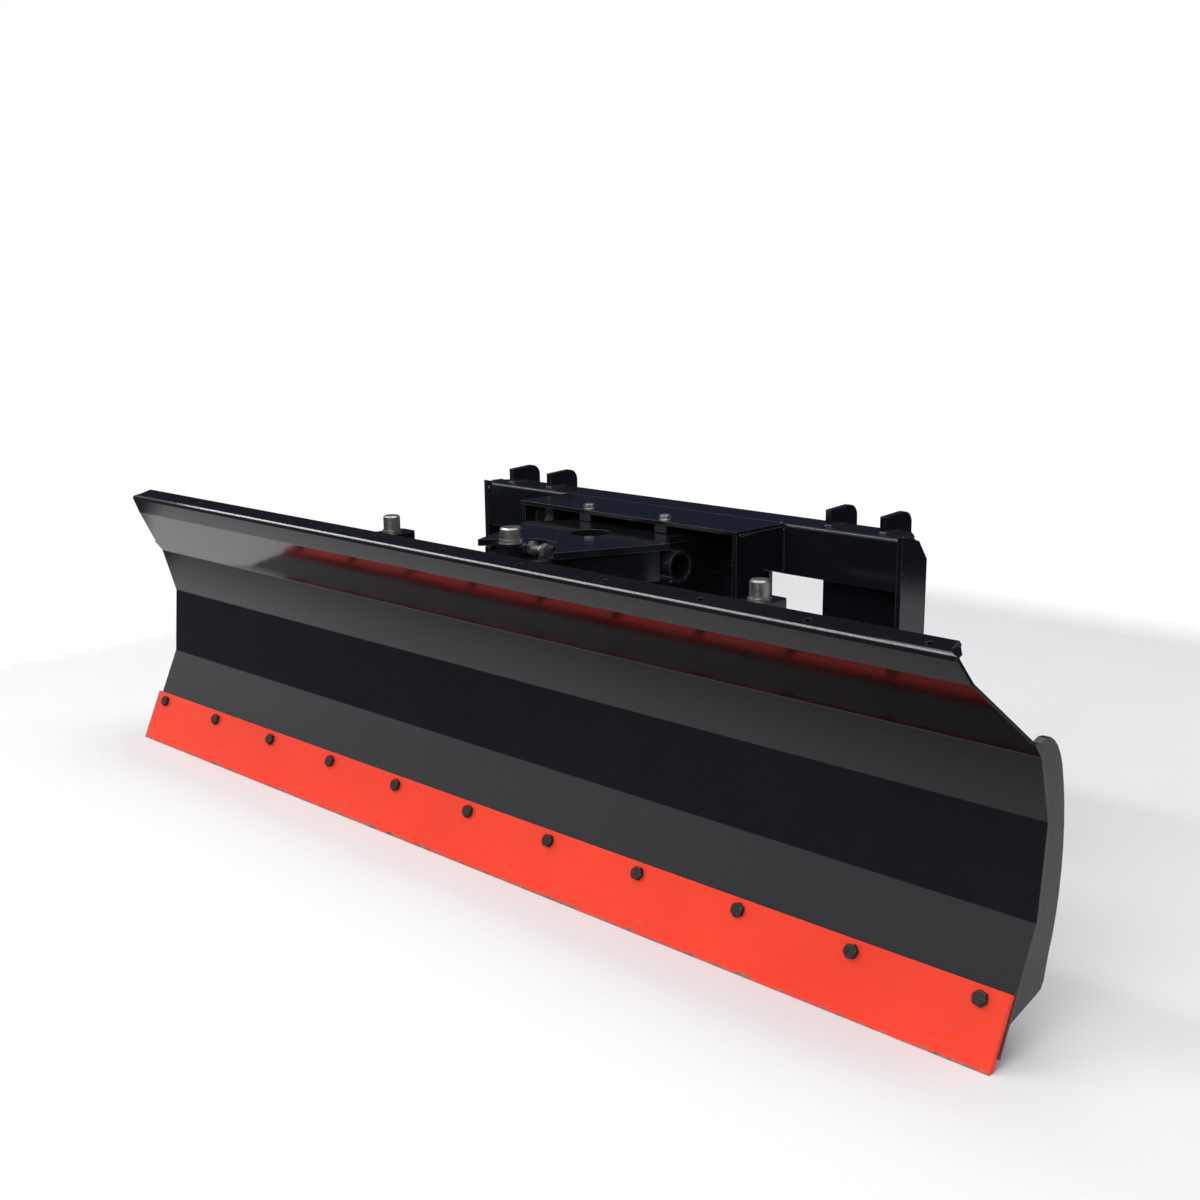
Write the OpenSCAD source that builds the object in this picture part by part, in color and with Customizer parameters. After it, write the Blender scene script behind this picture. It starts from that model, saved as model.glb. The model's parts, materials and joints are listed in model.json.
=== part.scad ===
// Hydraulic-angle snow plow blade on a quick-hitch frame.
// Millimetres. -Y is the way the plow pushes, +Z is up, +X is to the right of
// someone who faces the blade's front, and the ground is at z = 0.

/* [Blade] */
// Overall width of the moldboard
blade_w = 1830; // [1500:10:2200]
// Height of the top lip above the ground
blade_h = 472; // [460:1:490]
// Thickness of the moldboard sheet
sheet_t = 5; // [4:0.5:6]
// Inside radius of each fold in the moldboard
fold_r = 6; // [5:1:9]

/* [Cutting edge] */
// Height of the cutting edge along its slope
edge_h = 91; // [85:1:100]
// Thickness of the cutting edge
edge_t = 8; // [6:0.5:10]
// Lean of the cutting edge back from the vertical
edge_lean = 24.6; // [20:0.1:28]
// Spacing of the cutting edge bolts
bolt_pitch = 176; // [160:1:182]
// Number of cutting edge bolts
bolt_count = 11; // [9:2:11]

/* [Lip] */
// Spacing of the deflector holes along the lip
lip_pitch = 163; // [140:1:166]
// Diameter of the deflector holes
lip_hole_d = 9; // [8:0.5:11]

/* [King pin] */
// Diameter of the vertical pin that the blade angles about
king_d = 30; // [28:1:32]
// Distance of the king pin behind the foot of the cutting edge
king_y = 128; // [124:1:134]

/* [Angle cylinders] */
// Distance of each rod pin from the middle of the blade
ear_x = 402; // [396:1:410]
// Diameter of the rod pins
rod_pin_d = 28; // [25:1:30]
// Distance of both cylinder pins behind the foot of the cutting edge
cyl_y = 214; // [212:1:216]
// Distance of each barrel pin from the middle of the frame
anchor_x = 70; // [68:1:76]
// Height of the cylinder axes
cyl_z = 330; // [325:1:335]

/* [Hitch frame] */
// Width over the side plates
frame_w = 906; // [880:2:940]
// Height of the beam's top face
beam_top = 475; // [470:1:480]
// Height of the beam's front web
beam_h = 78; // [70:1:84]
// Distance of the beam's front face behind the foot of the cutting edge
beam_y = 467; // [464:1:472]
// Middle of each pair of hook plates, out from the centre line
hook_mid = 354; // [348:1:360]
// Diameter of the hitch's upper pins
hang_d = 28; // [25:1:32]
// Diameter of the lock-pin bores low in the frame
lock_d = 26; // [22:1:28]

/* [Hidden] */
$fn = 48;
charcoal = "#3b3d41";
black = "#1c1d21";
orange = "#f24a26";
zinc = "#b4b4b0";
bronze = "#a8814a";
rubber = "#141414";
chrome = "#d8dadc";

half_w = blade_w / 2;
// Fold lines of the moldboard's front face, as [y, z]
function edge_rear(z) = edge_t / cos(edge_lean) + z * tan(edge_lean);
lip_back = [14, blade_h];
lip_front = [-16, blade_h - 9];
neck = [2, blade_h - 42];
upper_fold = [67.5, 347];
mid_fold = [90, 268];
low_fold = [edge_rear(154), 154];
foot = [edge_rear(14), 14];
face_pts = [lip_back, lip_front, neck, upper_fold, mid_fold, low_fold, foot];

// Half-widths of the trimmed upper corners
lip_back_x = half_w - 73;
lip_front_x = half_w - 58;
neck_x = half_w - 48;
trim_z = upper_fold[1] + 18;

// Cutting edge directions: up the slope, and through it to the rear
edge_up = [sin(edge_lean), cos(edge_lean)];
edge_in = [cos(edge_lean), -sin(edge_lean)];
bar_low = 44;
bar_high = 93;
bolt_up = edge_h - 15;
backing_t = 8;
stack = edge_t + sheet_t + backing_t;

// Stiffener tube behind the moldboard
tube_y0 = 96;
tube_y1 = 130;
tube_z0 = 214;
tube_z1 = 272;

// King pin stack, bottom to top
hub_z0 = 78;
hub_z1 = 425;
hub_r = 28.5;
bush_r = 18;
flange_t = 1.5;
nose_z0 = 428;
nose_z1 = 440;
collar_top = 462;
low_plate_z1 = hub_z0 - flange_t - 0.6;
low_plate_z0 = low_plate_z1 - 12;
king_bottom = 34;

// Ear bracket levels
ear_top = 420;
ear_t = 16;
eye_t = 30;
ear_low = cyl_z - eye_t / 2 - 4;
ear_half = 24;
ear_back = cyl_y + 36;

// Barrel and rod
barrel_r = 30;
bore_r = 25;
barrel_len = 235;
rod_r = 12.5;
rod_len = 256;
anchor_pin_r = 12.5;

// Frame levels
web_t = 8;
side_t = 8;
side_x = frame_w / 2 - side_t;
flange_y = beam_y + 56;
beam_z0 = beam_top - beam_h;
low_tube = [[beam_y - 27, 60], [beam_y + 33, 140]];
leg_x = 286;
leg_y = beam_y + 33;
leg_t = 10;
hook_t = 10;
hook_half = 44;
hook_front_y = beam_y + 17;
hook_back_y = beam_y + 81;
foot_back_y = beam_y + 85;
hang_y = beam_y + 63;
hang_z = beam_top - 40;
lock_y = beam_y + 62;
lock_z = 100;
cover_z1 = beam_top - 1;
cover_t = 6;
cover_y0 = beam_y - 110;
cover_half = 236;
wall_x = 227;
back_half = 208;
push_top_z = 455;
push_t = 10;

function unit(v) = v / norm(v);
// Points of the arc that rounds corner b between a and c
function corner(a, b, c, r, n) =
    let (u = unit(a - b), v = unit(c - b), half = acos(u * v) / 2,
         p = b + u * r / tan(half), q = b + v * r / tan(half),
         m = b + unit(u + v) * r / sin(half))
    [for (i = [0:n]) m + unit((p - m) * (1 - i / n) + (q - m) * (i / n)) * r];
// A path with each inner corner rounded
function bent(p, r, n) =
    [p[0], for (i = [1:len(p) - 2]) each corner(p[i - 1], p[i], p[i + 1], r, n), p[len(p) - 1]];
// The same path moved t to its left, seen along its run
function beside(p, t) =
    [for (i = [0:len(p) - 1])
        let (a = p[max(i - 1, 0)], b = p[min(i + 1, len(p) - 1)], d = unit(b - a))
        p[i] + t * [-d[1], d[0]]];
function reversed(p) = [for (i = [len(p) - 1:-1:0]) p[i]];
// Where the moldboard's rear face lies at height z, below the upper fold
face_path = bent(face_pts, fold_r, 4);
back_path = beside(face_path, sheet_t);
// The origin sits under the middle of the bounding box: lip fold to rear feet
origin_y = (min([for (p = face_path) p[0]]) + foot_back_y) / 2;

// Everything is drawn with y = 0 at the foot of the cutting edge
module place() { translate([0, -origin_y, 0]) children(); }
// Extrudes an outline in [y, z] from x0 to x1
module along_x(x0, x1) { translate([x0, 0, 0]) rotate([90, 0, 90]) linear_extrude(x1 - x0) children(); }
// Extrudes an outline in [x, y] from z0 to z1
module upright(z0, z1) { translate([0, 0, z0]) linear_extrude(z1 - z0) children(); }
module both() { children(); mirror([1, 0, 0]) children(); }
module rod_z(x, y, z0, z1, r) { translate([x, y, z0]) cylinder(h = z1 - z0, r = r); }
module rod_x(x0, x1, y, z, r) { translate([x0, y, z]) rotate([0, 90, 0]) cylinder(h = x1 - x0, r = r); }
// A child drawn along +Z at the origin, set square to the cutting edge at bolt i
module at_bolt(i, depth) {
    p = bolt_up * edge_up + depth * edge_in;
    translate([(i - (bolt_count - 1) / 2) * bolt_pitch, p[0], p[1]])
        rotate([-90 - edge_lean, 0, 0]) children();
}
module hex(af, h) { cylinder(h = h, r = af / sqrt(3), $fn = 6); }
module ring(h, ro, ri) { difference() { cylinder(h = h, r = ro); translate([0, 0, -1]) cylinder(h = h + 2, r = ri); } }
// Outline of the space behind the moldboard, used to trim plates to its rear face
module behind_board() {
    polygon(concat(back_path, [[30, foot[1] - 40], [400, foot[1] - 40], [400, 500], [40, 500]]));
}
module board_outline() { polygon(concat(face_path, reversed(back_path))); }

// ---- blade ----
module moldboard() {
    color(charcoal) place() difference() {
        along_x(-half_w, half_w) board_outline();
        // trimmed upper corners
        both() translate([0, 200, 0]) rotate([90, 0, 0]) linear_extrude(400)
            polygon([[half_w + 1, trim_z], [half_w - 5, trim_z], [neck_x, neck[1]],
                     [lip_front_x, lip_front[1] - 1], [lip_back_x + 3, blade_h - 5.5],
                     [lip_back_x, blade_h + 1], [half_w + 1, blade_h + 1]]);
        for (i = [0:bolt_count - 1]) at_bolt(i, edge_t - 3) cylinder(h = sheet_t + 6, r = 5.3);
        for (i = [0:10]) lip_hole(i);
    }
}
module lip_hole(i) {
    mid = (lip_back + lip_front) / 2;
    tilt = atan2(lip_back[1] - lip_front[1], lip_back[0] - lip_front[0]);
    translate([(i - 5) * lip_pitch, mid[0], mid[1]]) rotate([tilt, 0, 0])
        translate([0, 0, -12]) cylinder(h = 24, r = lip_hole_d / 2);
}
module cutting_edge() {
    color(orange) place() difference() {
        along_x(-half_w + 1, half_w - 1)
            polygon([[0, 0], edge_h * edge_up, edge_h * edge_up + edge_t * edge_in, [edge_rear(0), 0]]);
        for (i = [0:bolt_count - 1]) at_bolt(i, -3) cylinder(h = edge_t + 6, r = 5.3);
    }
}
module edge_backing_bar() {
    near = (edge_t + sheet_t) * edge_in;
    far = stack * edge_in;
    color(charcoal) place() difference() {
        along_x(-half_w + 14, half_w - 14)
            polygon([bar_low * edge_up + near, bar_high * edge_up + near,
                     bar_high * edge_up + far, bar_low * edge_up + far]);
        for (i = [0:bolt_count - 1]) at_bolt(i, edge_t) cylinder(h = 20, r = 5.3);
    }
}
module edge_bolts() {
    color(black) place() for (i = [0:bolt_count - 1]) at_bolt(i, 0) {
        translate([0, 0, -6.4]) hex(17, 6.4);
        translate([0, 0, -0.01]) cylinder(h = stack + 12.5, r = 5);
    }
}
module edge_washers() {
    color(black) place() for (i = [0:bolt_count - 1]) at_bolt(i, stack) ring(2, 10, 5.3);
}
module edge_nuts() {
    color(black) place() for (i = [0:bolt_count - 1]) at_bolt(i, stack + 2) difference() {
        hex(17, 8.4);
        translate([0, 0, -1]) cylinder(h = 12, r = 5.05);
    }
}
// Side gusset welded behind each end of the moldboard
module end_outline() {
    intersection() {
        behind_board();
        polygon(concat([[24, 44]], [[88, 66], [97, 70], [102, 78]],
            [for (a = [-38:8:38]) [26 + 100 * cos(a * 0.9), 225 + 190 * sin(a)]],
            [[107, 343], [101, 353], [93, 361], [85, 366], [76, 367], [64, 363], [40, 357]]));
    }
}
module end_plate_right() { color(charcoal) place() along_x(half_w - 10, half_w) end_outline(); }
module end_plate_left() { mirror([1, 0, 0]) end_plate_right(); }
module moldboard_ribs() {
    color(charcoal) place() both() for (x = [200, 560, 745]) along_x(x, x + 8) difference() {
        intersection() {
            behind_board();
            polygon([[20, 112], [90, 112], [128, 170], [128, 330], [100, 385], [24, 415], [10, 395]]);
        }
        translate([tube_y0 - 10, tube_z0]) square([60, tube_z1 - tube_z0]);
    }
}
module stiffener_tubes() {
    color(charcoal) place() both() along_x(40, half_w - 10) difference() {
        translate([tube_y0, tube_z0]) square([tube_y1 - tube_y0, tube_z1 - tube_z0]);
        translate([tube_y0 + 4, tube_z0 + 4]) square([tube_y1 - tube_y0 - 8, tube_z1 - tube_z0 - 8]);
    }
}
module hub_tube() {
    color(charcoal) place() translate([0, king_y, hub_z0]) difference() {
        cylinder(h = hub_z1 - hub_z0, r = hub_r);
        translate([0, 0, -1]) cylinder(h = hub_z1 - hub_z0 + 2, r = bush_r);
        for (z = [60, 290]) translate([0, 0, z]) rotate([-90, 0, 0]) cylinder(h = 40, r = 3);
    }
}
module hub_side_plates() {
    color(charcoal) place() both() along_x(32, 40) intersection() {
        behind_board();
        translate([0, hub_z0 + 14]) square([tube_y1, hub_z1 - 28 - hub_z0]);
    }
}
module hub_lug(z0) {
    color(charcoal) place() difference() {
        intersection() {
            upright(z0, z0 + 14) union() {
                translate([0, king_y]) circle(r = 40);
                polygon([[-70, 0], [70, 0], [38, king_y + 12], [-38, king_y + 12]]);
            }
            along_x(-80, 80) behind_board();
        }
        // room for the bar behind the cutting edge
        along_x(-90, 90) polygon([(bar_low - 4) * edge_up, (bar_high + 1) * edge_up,
                                  (bar_high + 1) * edge_up + (stack + 1) * edge_in,
                                  (bar_low - 4) * edge_up + (stack + 1) * edge_in]);
        rod_z(0, king_y, z0 - 1, z0 + 15, hub_r);
    }
}
module hub_lug_upper() { hub_lug(hub_z1 - 14); }
module hub_lug_lower() { hub_lug(hub_z0); }
module hub_bushes() {
    color(bronze) place() translate([0, king_y, 0]) {
        translate([0, 0, hub_z1 - 40]) ring(40, bush_r, king_d / 2 + 0.06);
        translate([0, 0, hub_z1]) ring(flange_t, bush_r + 7, king_d / 2 + 0.06);
        translate([0, 0, hub_z0]) ring(40, bush_r, king_d / 2 + 0.06);
        translate([0, 0, hub_z0 - flange_t]) ring(flange_t, bush_r + 7, king_d / 2 + 0.06);
    }
}
module hub_grease_nipples() {
    color(zinc) place() for (z = [60, 290]) translate([0, king_y + hub_r - 6, hub_z0 + z])
        rotate([-90, 0, 0]) {
            cylinder(h = 9, r = 2.9);
            translate([0, 0, 6.6]) hex(8, 4);
            translate([0, 0, 10]) cylinder(h = 5, r = 2.4);
        }
}
// Two ears and the gusset between them, behind the board on the +X side
module ear_bracket() {
    color(charcoal) place() difference() {
        union() {
            for (z = [ear_low, ear_top]) intersection() {
                upright(z - ear_t, z) union() {
                    polygon([[ear_x - 42, 0], [ear_x + 42, 0], [ear_x + ear_half, 150],
                             [ear_x + ear_half, ear_back - 14], [ear_x + ear_half - 14, ear_back],
                             [ear_x - ear_half + 14, ear_back], [ear_x - ear_half, ear_back - 14],
                             [ear_x - ear_half, 150]]);
                    for (s = [-1, 1]) translate([ear_x + s * (ear_half - 14), ear_back - 14]) circle(r = 14);
                }
                along_x(ear_x - 60, ear_x + 60) behind_board();
            }
            along_x(ear_x - 6, ear_x + 6) intersection() {
                behind_board();
                translate([0, ear_low - 1]) square([172, ear_top - ear_t - ear_low + 2]);
            }
        }
        rod_z(ear_x, cyl_y, ear_low - ear_t - 1, ear_top + 1, rod_pin_d / 2 + 0.1);
    }
}
module ear_bracket_right() { ear_bracket(); }
module ear_bracket_left() { mirror([1, 0, 0]) ear_bracket(); }
module rod_pins() {
    r = rod_pin_d / 2;
    low = ear_low - ear_t - 20;
    color(zinc) place() both() translate([ear_x, cyl_y, 0]) difference() {
        union() {
            translate([0, 0, low]) cylinder(h = ear_top + 26 - low, r = r);
            translate([0, 0, ear_top + 26]) cylinder(h = 2.5, r1 = r, r2 = r - 2.5);
            translate([0, 0, ear_top]) cylinder(h = 4, r = r + 2.5);
        }
        translate([-30, 0, low + 8]) rotate([0, 90, 0]) cylinder(h = 60, r = 3);
    }
}
module rod_pin_roll_pins() {
    color(zinc) place() both() rod_x(ear_x - 22, ear_x + 22, cyl_y, ear_low - ear_t - 12, 3);
}
module rod_pin_washers() {
    color(zinc) place() both() {
        translate([ear_x, cyl_y, ear_low - ear_t - 4]) ring(3.6, 24, rod_pin_d / 2 + 0.4);
        translate([ear_x, cyl_y, ear_low]) ring(3.4, 24, rod_pin_d / 2 + 0.4);
    }
}
module rod_pin_spacers() {
    z0 = cyl_z + eye_t / 2 + 0.5;
    color(charcoal) place() both() translate([ear_x, cyl_y, z0])
        ring(ear_top - ear_t - z0, 20, rod_pin_d / 2 + 0.4);
}

// ---- hitch frame ----
module top_beam() {
    color(charcoal) place() difference() {
        along_x(-side_x, side_x) {
            translate([beam_y, beam_z0]) square([web_t, beam_h - 7]);
            translate([beam_y + 7, beam_top - web_t]) square([flange_y - beam_y - 7, web_t]);
            translate([beam_y + 7, beam_top - 7]) circle(r = 7);
        }
        // rear corners trimmed in line with the side plates
        both() upright(beam_top - web_t - 1, beam_top + 1)
            polygon([[side_x + 1, flange_y - 21], [side_x, flange_y - 21],
                     [side_x - 20, flange_y + 1], [side_x + 1, flange_y + 1]]);
    }
}
module side_plate_right() {
    color(charcoal) place() difference() {
        along_x(side_x, side_x + side_t) polygon([
            [beam_y - 5, 0], [foot_back_y, 0], [foot_back_y, 136], [flange_y + 1, 190],
            [flange_y + 1, beam_top - 36], [flange_y - 20, beam_top - 7], [beam_y - 5, beam_top + 3]]);
        rod_x(side_x - 1, side_x + side_t + 1, lock_y, lock_z, lock_d / 2);
    }
}
module side_plate_left() { mirror([1, 0, 0]) side_plate_right(); }
module leg_plates() {
    color(charcoal) place() both() translate([leg_x, leg_y, 0])
        cube([side_x - leg_x, leg_t, beam_top - web_t]);
}
module lower_cross_tube() {
    color(charcoal) place() along_x(-side_x, side_x) difference() {
        translate(low_tube[0]) square(low_tube[1] - low_tube[0]);
        translate(low_tube[0] + [5, 5]) square(low_tube[1] - low_tube[0] - [10, 10]);
    }
}
module hook_outline() {
    z0 = beam_top - 85;
    polygon(concat(
        [[hook_front_y, beam_top], [hook_front_y, beam_top + 24]],
        [for (a = [90:-15:0]) [hook_back_y - 18 + 18 * cos(a), beam_top + 9 + 18 * sin(a)]],
        [[hook_back_y, z0 + 20], [hook_back_y - 20, z0], [leg_y + leg_t, z0],
         [leg_y + leg_t, beam_top - web_t], [flange_y, beam_top - web_t], [flange_y, beam_top]]));
}
module hook_plates() {
    color(charcoal) place() both() for (s = [-1, 1])
        along_x(hook_mid + s * (hook_half + hook_t / 2) - hook_t / 2,
                hook_mid + s * (hook_half + hook_t / 2) + hook_t / 2) hook_outline();
}
// Round bars welded between each pair of hook plates, which the carrier's hooks lift
module hang_bars() {
    color(charcoal) place() both()
        rod_x(hook_mid - hook_half, hook_mid + hook_half, hang_y, hang_z, hang_d / 2);
}
// Inner lugs that share the lock pin with the side plates
module lock_lugs() {
    color(charcoal) place() both() for (x = [330, 395]) difference() {
        along_x(x, x + 12) polygon([[leg_y + leg_t, 40], [foot_back_y, 64], [foot_back_y, 136],
                                    [flange_y + 1, 190], [leg_y + leg_t, 190]]);
        rod_x(x - 1, x + 13, lock_y, lock_z, lock_d / 2);
    }
}
module box_back_plate() {
    color(charcoal) place() along_x(-back_half, back_half)
        translate([beam_y, low_tube[1][1]]) square([web_t, beam_z0 - low_tube[1][1]]);
}
module wall_outline() {
    polygon([[cover_y0 + 2, cover_z1 - cover_t], [beam_y, cover_z1 - cover_t], [beam_y, beam_z0],
             [beam_y - 46, beam_z0 + 13], [beam_y - 46, 300], [cover_y0 + 30, 270], [cover_y0 + 2, 300]]);
}
module box_wall_right() { color(charcoal) place() along_x(wall_x, wall_x + 8) wall_outline(); }
module box_wall_left() {
    color(charcoal) place() difference() {
        along_x(-wall_x - 8, -wall_x) wall_outline();
        rod_x(-wall_x - 20, -wall_x + 10, beam_y - 62, 444, 19);
    }
}
module hose_grommet() {
    color(rubber) place() translate([-wall_x - 13, beam_y - 62, 444]) rotate([0, 90, 0]) {
        ring(18, 18.9, 13);
        ring(4.8, 24, 13);
        translate([0, 0, 13.2]) ring(4.8, 24, 13);
    }
}
cover_bolt_x = 83;
cover_bolt_y = cover_y0 + 11;
module box_cover() {
    color(charcoal) place() difference() {
        translate([-cover_half, cover_y0, cover_z1 - cover_t]) cube([2 * cover_half, beam_y - cover_y0, cover_t]);
        both() rod_z(cover_bolt_x, cover_bolt_y, cover_z1 - 10, cover_z1 + 2, 5.4);
    }
}
module cover_bolts() {
    color(zinc) place() both() translate([cover_bolt_x, cover_bolt_y, cover_z1]) {
        cylinder(h = 2, r = 9.5);
        translate([0, 0, 1.9]) hex(16, 7);
        translate([0, 0, -18]) cylinder(h = 18.5, r = 5);
    }
}
// Threaded blocks under the cover, on brackets that reach back to the beam
module cover_nut_blocks() {
    top = cover_z1 - cover_t;
    color(charcoal) place() both() difference() {
        union() {
            translate([cover_bolt_x - 12, cover_y0 + 1, top - 12]) cube([24, 26, 12]);
            translate([cover_bolt_x - 4, cover_y0 + 26, top - 10]) cube([8, beam_y - cover_y0 - 26, 10]);
        }
        rod_z(cover_bolt_x, cover_bolt_y, top - 30, top + 1, 5.05);
    }
}
// ---- push frame, welded to the hitch frame ----
module push_top_plate() {
    right = [[84, king_y + 7], [155, 302], [117, 340], [117, beam_y]];
    color(charcoal) place() difference() {
        upright(push_top_z - push_t, push_top_z) polygon(concat(
            [[26, king_y + 72]], right, [for (p = reversed(right)) [-p[0], p[1]]], [[-26, king_y + 72]]));
        rod_z(0, 290, push_top_z - push_t - 1, push_top_z + 1, 31);
    }
}
web_in = [[64, king_y + 13], [140, 290]];
module push_webs() {
    color(charcoal) place() both() difference() {
        upright(nose_z0 - 28, push_top_z - push_t)
            polygon(concat(web_in, [for (p = reversed(web_in)) p + [8, -2]]));
        rod_x(0, 200, 315, 420, 24);
    }
}
module push_rear_gussets() {
    color(charcoal) place() both() {
        translate([107, 341, 385]) cube([10, beam_y - 341, push_top_z - push_t - 385]);
        translate([107, 300, low_plate_z1]) cube([10, low_tube[0][0] - 300, 60]);
    }
}
module push_nose_plate() {
    right = [[30, king_y - 16], [63.8, king_y + 13], [107, 226], [107, 262]];
    color(charcoal) place() difference() {
        upright(nose_z0, nose_z1) union() {
            translate([0, king_y]) circle(r = 34);
            polygon(concat(right, [for (p = reversed(right)) [-p[0], p[1]]]));
        }
        rod_z(0, king_y, nose_z0 - 1, nose_z1 + 1, king_d / 2 + 0.1);
    }
}
module push_bottom_plate() {
    right = [[30, king_y - 16], [84, 196], [130, 340], [130, low_tube[0][0]]];
    color(charcoal) place() difference() {
        upright(low_plate_z0, low_plate_z1) union() {
            translate([0, king_y]) circle(r = 34);
            polygon(concat(right, [for (p = reversed(right)) [-p[0], p[1]]]));
        }
        rod_z(0, king_y, low_plate_z0 - 1, low_plate_z1 + 1, king_d / 2 + 0.1);
    }
}
module push_post() {
    color(charcoal) place() difference() {
        translate([-35, 182, low_plate_z1]) cube([70, 68, nose_z0 - low_plate_z1]);
        translate([-29, 188, low_plate_z1 - 1]) cube([58, 56, nose_z0 - low_plate_z1 + 2]);
    }
}
module cross_tube() {
    color(charcoal) place() translate([-165, 315, 420]) rotate([0, 90, 0]) ring(330, 24, 20);
}
module barrel_lugs() {
    color(charcoal) place() both() for (z = [cyl_z - eye_t / 2 - 12.5, cyl_z + eye_t / 2 + 0.5]) difference() {
        upright(z, z + 12) union() {
            translate([anchor_x, cyl_y]) circle(r = 24);
            polygon([[35, 183], [35, 249], [anchor_x + 4, cyl_y + 23.6], [anchor_x + 4, cyl_y - 23.6]]);
        }
        rod_z(anchor_x, cyl_y, z - 1, z + 13, anchor_pin_r + 0.1);
    }
}
module barrel_pins() {
    z0 = cyl_z - eye_t / 2 - 12.5;
    z1 = cyl_z + eye_t / 2 + 12.5;
    color(zinc) place() both() translate([anchor_x, cyl_y, 0]) difference() {
        union() {
            translate([0, 0, z0 - 14]) cylinder(h = z1 - z0 + 14.5, r = anchor_pin_r);
            translate([0, 0, z1]) cylinder(h = 6, r = anchor_pin_r + 4);
        }
        translate([-30, 0, z0 - 7]) rotate([0, 90, 0]) cylinder(h = 60, r = 2.5);
    }
}
module barrel_pin_clips() {
    color(zinc) place() both()
        rod_x(anchor_x - 19, anchor_x + 19, cyl_y, cyl_z - eye_t / 2 - 19.5, 2.5);
}
module king_pin() {
    r = king_d / 2;
    color(zinc) place() translate([0, king_y, 0]) difference() {
        union() {
            translate([0, 0, king_bottom]) cylinder(h = collar_top - king_bottom + 0.5, r = r);
            translate([0, 0, collar_top]) cylinder(h = 5, r = 18);
            translate([0, 0, collar_top + 4.9]) cylinder(h = 15, r = 16.5);
            translate([0, 0, collar_top + 19.8]) cylinder(h = 2.5, r1 = 16.5, r2 = 14.5);
        }
        translate([-40, 0, king_bottom + 9]) rotate([0, 90, 0]) cylinder(h = 80, r = 4);
        // notch that the keeper bolt locks into
        rod_x(-40, 40, keeper_y - king_y, keeper_z, 6.2);
    }
}
module king_pin_washer() {
    color(zinc) place() translate([0, king_y, low_plate_z0 - 5.2]) ring(5, 26, king_d / 2 + 0.4);
}
module king_pin_roll_pin() { color(zinc) place() rod_x(-25, 25, king_y, king_bottom + 9, 4); }
keeper_y = king_y + 22;
keeper_z = 452;
module king_collar() {
    color(charcoal) place() difference() {
        union() {
            translate([0, king_y, nose_z1]) cylinder(h = collar_top - nose_z1, r = 22);
            translate([-18, king_y + 10, nose_z1]) cube([36, 27, collar_top - nose_z1]);
        }
        rod_z(0, king_y, nose_z1 - 1, collar_top + 1, king_d / 2 + 0.1);
        rod_x(-30, 30, keeper_y, keeper_z, 6);
    }
}
module keeper_bolt() {
    color(zinc) place() {
        rod_x(-17, 49, keeper_y, keeper_z, 5.9);
        translate([48.5, keeper_y, keeper_z]) rotate([0, 90, 0]) hex(19, 8);
        translate([46, keeper_y, keeper_z]) rotate([0, 90, 0]) cylinder(h = 2.6, r = 10);
    }
}
module keeper_nut() {
    color(zinc) place() translate([18.2, keeper_y, keeper_z]) rotate([0, 90, 0]) difference() {
        hex(19, 10);
        translate([0, 0, -1]) cylinder(h = 12, r = 5.95);
    }
}
// ---- angle cylinders ----
// The right-hand cylinder, drawn with its barrel pin at the origin and its axis along +X
module at_anchor() { place() translate([anchor_x, cyl_y, cyl_z]) children(); }
module barrel_shape() {
    ports = [62, barrel_len - 22];
    difference() {
        union() {
            translate([0, 0, -eye_t / 2]) cylinder(h = eye_t, r = 24);
            translate([10, -17, -eye_t / 2]) cube([24, 34, eye_t]);
            rod_x(32, barrel_len, 0, 0, barrel_r);
            for (x = ports) translate([x, 0, 0]) cylinder(h = barrel_r + 10, r = 11);
        }
        translate([0, 0, -40]) cylinder(h = 80, r = anchor_pin_r + 0.06);
        rod_x(46, barrel_len + 1, 0, 0, bore_r);
        for (x = ports) translate([x, 0, 10]) cylinder(h = 40, r = 6.5);
    }
}
module barrel_right() { color(black) at_anchor() barrel_shape(); }
module barrel_left() { mirror([1, 0, 0]) barrel_right(); }
module gland_right() {
    color(black) at_anchor() translate([barrel_len, 0, 0]) rotate([0, 90, 0]) difference() {
        cylinder(h = 16, r = barrel_r + 2);
        translate([0, 0, -1]) cylinder(h = 18, r = 21);
        for (a = [0:60:300]) rotate([0, 0, a]) translate([barrel_r + 1, 0, 8]) cylinder(h = 9, r = 2.4);
    }
}
module gland_left() { mirror([1, 0, 0]) gland_right(); }
module rod_right() {
    color(chrome) place() translate([ear_x, cyl_y, cyl_z]) difference() {
        union() {
            translate([0, 0, -eye_t / 2]) cylinder(h = eye_t, r = 24);
            translate([-34, -15, -eye_t / 2]) cube([20, 30, eye_t]);
            rod_x(-rod_len, -30, 0, 0, rod_r);
            rod_x(-rod_len, -rod_len + 22, 0, 0, 16.5);
        }
        translate([0, 0, -40]) cylinder(h = 80, r = rod_pin_d / 2 + 0.06);
    }
}
module rod_left() { mirror([1, 0, 0]) rod_right(); }

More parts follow.
